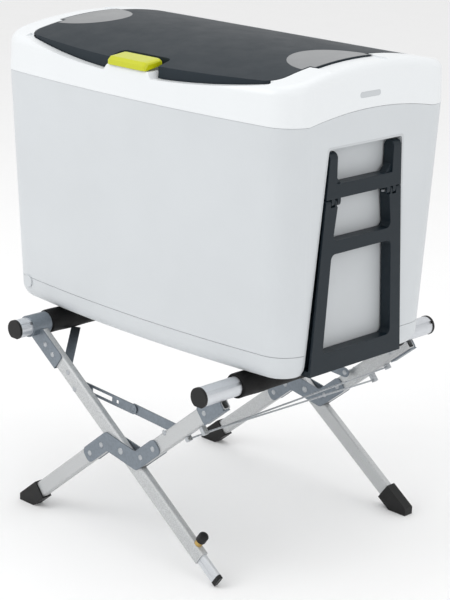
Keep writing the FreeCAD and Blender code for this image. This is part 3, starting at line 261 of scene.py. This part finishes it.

# Edge gains above 1 (lid, handle, black plastic) paint highlights along the edges, over some real wear
MATERIALS = {
    "shell": moulded("body_grey", BODY_GREY, 0.42, variation=0.018, wear_and_highlight=0.98),
    "tray": moulded("tray_grey", toned(BODY_GREY, 0.99), 0.45),
    # The handle bay is 0.88 of the shell grey: painted shade for the recess and the gap beside the handle
    "bay": moulded("bay_grey_painted_shade", toned(BODY_GREY, 0.88), 0.48),
    "rim": moulded("rim_white", WHITE, 0.34, coat=0.15, variation=0.008, wear_and_highlight=1.0, edge=0.0),
    "lid": moulded("lid_slate", SLATE, 0.5, grain=650.0, grain_depth=0.00012, variation=0.02, wear_and_highlight=1.5,
                   shine=0.22, edge=0.0015),
    "inset": moulded("inset_grey", INSET_GREY, 0.34, variation=0.03, coat=0.1),
    "latch": moulded("latch_lime", LIME, 0.33, coat=0.2, variation=0.025, edge=0.001),
    "liner": moulded("liner_white", toned(WHITE, 0.93), 0.34),
    "foam": moulded("foam_cream", linear(222, 205, 150), 0.85, grain=240.0, grain_depth=0.0006),
    "gasket": moulded("gasket_rubber", BLACK, 0.6),
    "handle": moulded("handle_anthracite", ANTHRACITE, 0.4, grain=800.0, grain_depth=0.0001, variation=0.05,
                      wear_and_highlight=1.7, shine=0.3),
    "black": moulded("black_plastic", BLACK, 0.45, variation=0.1, wear_and_highlight=2.2, shine=0.35),
    "board": moulded("board_green", linear(30, 92, 58), 0.5, grain=300.0),
    "motor": moulded("motor_enamel", toned(BLACK, 0.7), 0.25, coat=0.4),
    "badge": moulded("badge_grey", linear(196, 200, 203), 0.35),
    "alu_bar": extruded("alu_bar", ALU, BAR_GRAIN),
    "alu_leg": extruded("alu_leg", toned(LEG_ALU, 0.84), NO_STRETCH, 0.46, 0.32),
    "alu_sheet": extruded("alu_sheet", ALU, NO_STRETCH),
    "zinc": plated("zinc_plate", ZINC),
    "steel": plated("plain_steel", linear(176, 180, 184), 0.3),
    "brass": plated("turned_brass", linear(186, 156, 92), 0.3),
    "pad": foam_rubber("sleeve_foam", linear(9, 9, 10)),
    "tyre": foam_rubber("wheel_rubber", linear(24, 24, 26)),
    "glass": smoked("display_glass", linear(24, 28, 34)),
}

# Nodes whose material isn't simply that of their slot in the record
SPECIAL = {
    "handle_bay": "bay",
    "bar_left": "alu_bar", "bar_right": "alu_bar",
    "straight_legs": "alu_leg", "split_legs": "alu_leg", "foot_tube": "alu_bar",
    "evaporator_plate": "alu_sheet", "condenser": "alu_sheet",
}


# ---------------------------------------------------------------- pieces that replace CAD nodes
SLEEVE_SLACK = 0.0007       # how far the foam's mean surface lies inside its CAD node
SLEEVE_LUMP = 0.00025
SLEEVE_END_R = 0.003        # rounding of the cut ends
SLEEVE_PRESS = 0.0006       # how far the load flattens the top
SLEEVE_AROUND, SLEEVE_STEPS = 56, 150
SLEEVE_ENDS = (0.0, 0.0006, 0.0014, 0.0024, 0.0036)     # extra rings over the rounding
SLEEVE_MARGIN = 0.012       # share of the length before the even rings start
BORE_CLEARANCE = 0.0001
LATCH_WALL = 0.0018
LATCH_ENDS = ((0.0, 0.0036), (0.0012, 0.0016), (0.0036, 0.0004), (0.0075, 0.0))    # reach in, drawn in
LATCH_ROUNDING = 0.0005
SHARP_ANGLE = math.radians(25.0)


def mesh_object(mesh, name, material, smooth=False):
    """A linked object made from a finished bmesh."""
    bmesh.ops.recalc_face_normals(mesh, faces=mesh.faces)
    data = bpy.data.meshes.new(name)
    mesh.to_mesh(data)
    mesh.free()
    if smooth:
        data.polygons.foreach_set("use_smooth", [True] * len(data.polygons))
    data.materials.append(material)
    piece = bpy.data.objects.new(name, data)
    bpy.context.scene.collection.objects.link(piece)
    return piece


def sleeve_radius(share, angle, end, radius):
    """Outer radius of a foam sleeve: rounded at its ends, a little lumpy, pressed flat on top."""
    lumps = math.sin(share * 23.0 + 2.0 * math.sin(angle)) + math.sin(share * 41.0 + 3.0 * angle)
    value = radius - SLEEVE_SLACK + SLEEVE_LUMP * lumps
    if end < SLEEVE_END_R:
        value -= SLEEVE_END_R - math.sqrt(max(0.0, SLEEVE_END_R ** 2 - (SLEEVE_END_R - end) ** 2))
    if math.sin(angle) > 0.0:
        value = min(value, (radius - SLEEVE_PRESS) / max(0.2, math.sin(angle)))
    return value


def foam_sleeve(side):
    """The foam sleeve on a top bar, as a closed tube about the bar."""
    low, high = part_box("sleeve_" + side)
    bar_low, bar_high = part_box("bar_" + side)
    centre_x, centre_z = (low[0] + high[0]) / 2, (low[2] + high[2]) / 2
    radius, bore = (high[0] - low[0]) / 2, (bar_high[0] - bar_low[0]) / 2 + BORE_CLEARANCE
    length = high[1] - low[1]
    even = [length * (SLEEVE_MARGIN + (1.0 - 2.0 * SLEEVE_MARGIN) * step / SLEEVE_STEPS)
            for step in range(SLEEVE_STEPS + 1)]
    stations = list(SLEEVE_ENDS) + even + [length - end for end in reversed(SLEEVE_ENDS)]
    angles = [2 * math.pi * index / SLEEVE_AROUND for index in range(SLEEVE_AROUND)]

    def ring_at(place, radii):
        return [mesh.verts.new((centre_x + reach * math.cos(angle), low[1] + place,
                                centre_z + reach * math.sin(angle)))
                for angle, reach in zip(angles, radii)]

    mesh = bmesh.new()
    rings = []
    for place in stations:
        end = min(place, length - place)
        radii = [sleeve_radius(place / length, angle, end, radius) for angle in angles]
        rings.append(ring_at(place, radii))
    for place in (length, 0.0):
        rings.append(ring_at(place, [bore] * SLEEVE_AROUND))
    for first, second in zip(rings, rings[1:] + rings[:1]):
        for index in range(SLEEVE_AROUND):
            after = (index + 1) % SLEEVE_AROUND
            mesh.faces.new((first[index], first[after], second[after], second[index]))
    piece = mesh_object(mesh, "foam_sleeve_" + side, MATERIALS["pad"], smooth=True)
    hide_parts("sleeve_" + side)
    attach(piece, side + "_frame")


def latch_section(low, high, inset, wall):
    """The latch cap's section, from its front lip over the top to its back lip.

    inset draws it in towards an end of the latch, and wall gives the inner skin.
    """
    front, back = low[1] + inset + wall, high[1] - 0.5 * (inset + wall)
    foot, top = low[2] + 0.0001, high[2] - inset - wall
    return [(front, foot), (front, top - 0.0075), (front + 0.0045, top - 0.0032),
            (back - 0.004, top - 0.0002), (back, top - 0.003), (back, foot + 0.005)]


def latch_cap():
    """The lift latch as a hollow cap with faceted, rounded ends, open underneath over its hinge ears."""
    low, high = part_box("latch")
    centre, half = (low[0] + high[0]) / 2, (high[0] - low[0]) / 2
    stations = [(-half + reach, inset) for reach, inset in LATCH_ENDS]
    stations += [(half - reach, inset) for reach, inset in reversed(LATCH_ENDS)]
    mesh = bmesh.new()
    skins = []
    for thickness in (0.0, LATCH_WALL):
        skins.append([[mesh.verts.new((centre + place * (1.0 - thickness / half), y, z))
                       for y, z in latch_section(low, high, inset, thickness)]
                      for place, inset in stations])
    for skin in skins:
        for first, second in zip(skin, skin[1:]):
            for index in range(len(first) - 1):
                mesh.faces.new((first[index], first[index + 1], second[index + 1], second[index]))
        mesh.faces.new(skin[0])
        mesh.faces.new(skin[-1])
    outer, inner = skins
    for lip in (0, -1):
        for step in range(len(stations) - 1):
            mesh.faces.new((outer[step][lip], outer[step + 1][lip], inner[step + 1][lip], inner[step][lip]))
        mesh.faces.new((outer[lip][0], outer[lip][-1], inner[lip][-1], inner[lip][0]))
    piece = mesh_object(mesh, "latch_cap", MATERIALS["latch"])
    rounding = piece.modifiers.new("rounding", "BEVEL")
    rounding.width, rounding.segments = LATCH_ROUNDING, 2
    rounding.limit_method, rounding.angle_limit = "ANGLE", SHARP_ANGLE
    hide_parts("latch")
    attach(piece, "latch_key")


def dress_nodes():
    """Gives every CAD node its material."""
    for name, piece in frame["nodes"].items():
        key = SPECIAL.get(name, frame_slots[name])
        piece.data.materials.clear()
        piece.data.materials.append(MATERIALS[key])


# ---------------------------------------------------------------- camera and light
CAMERA_AT = (1.8352, -1.8898, 1.1465)
CAMERA_AZIMUTH, CAMERA_ELEVATION, CAMERA_ROLL = 44.03, 17.15, 1.67     # degrees
CAMERA_LENS, SENSOR_HEIGHT = 110.8, 36.0
WORLD_STRENGTH = 0.84
LIGHTS = (      # name, place, size, power
    ("key", (-1.2, -2.4, 2.4), 2.0, 26.0),
    ("fill", (2.6, -0.4, 1.4), 2.0, 8.0),
    ("top", (0.2, 0.4, 2.8), 2.2, 12.0),
)
LIGHT_TARGET = (0.0, 0.0, 0.35)
FLOOR_HALF = 9
FLOOR_WHITE = (0.98, 0.98, 0.98)


def add_camera():
    """A long lens from above the front right corner."""
    azimuth, elevation, roll = map(math.radians, (CAMERA_AZIMUTH, CAMERA_ELEVATION, CAMERA_ROLL))
    ahead = Vector((-math.sin(azimuth) * math.cos(elevation), math.cos(azimuth) * math.cos(elevation),
                    -math.sin(elevation)))
    right = ahead.cross(Vector((0, 0, 1))).normalized()
    up = right.cross(ahead)
    right_turned = right * math.cos(roll) + up * math.sin(roll)
    up_turned = up * math.cos(roll) - right * math.sin(roll)
    data = bpy.data.cameras.new("camera")
    data.sensor_fit = "VERTICAL"
    data.sensor_height = SENSOR_HEIGHT
    data.lens = CAMERA_LENS
    camera = bpy.data.objects.new("camera", data)
    turn = Matrix((right_turned, up_turned, -ahead)).transposed()
    camera.matrix_world = Matrix.Translation(CAMERA_AT) @ turn.to_4x4()
    bpy.context.scene.collection.objects.link(camera)
    bpy.context.scene.camera = camera


def add_area(name, place, size, power):
    """A square area light that looks at the middle of the object."""
    data = bpy.data.lights.new(name, "AREA")
    data.size = size
    data.energy = power
    lamp = bpy.data.objects.new(name, data)
    lamp.location = place
    lamp.rotation_euler = (Vector(LIGHT_TARGET) - Vector(place)).to_track_quat("-Z", "Y").to_euler()
    bpy.context.scene.collection.objects.link(lamp)


def add_studio():
    """An even white surround, three soft lights and a pale floor."""
    scene = bpy.context.scene
    scene.view_settings.view_transform = "Standard"
    world = bpy.data.worlds.new("studio")
    world.use_nodes = True
    surround = world.node_tree.nodes["Background"]
    surround.inputs["Color"].default_value = (1.0, 1.0, 1.0, 1.0)
    surround.inputs["Strength"].default_value = WORLD_STRENGTH
    scene.world = world
    for light in LIGHTS:
        add_area(*light)
    mesh = bpy.data.meshes.new("floor")
    corners = [(x * FLOOR_HALF, y * FLOOR_HALF, 0) for x, y in ((-1, -1), (1, -1), (1, 1), (-1, 1))]
    mesh.from_pydata(corners, [], [(0, 1, 2, 3)])
    floor = bpy.data.objects.new("floor", mesh)
    bpy.context.scene.collection.objects.link(floor)
    mesh.materials.append(moulded("floor_paper", FLOOR_WHITE, 0.8, grain=400.0, variation=0.004, wear_and_highlight=1.0,
                                  shine=0.1))


dress_nodes()
for frame_side in ("left", "right"):
    foam_sleeve(frame_side)
latch_cap()
add_camera()
add_studio()
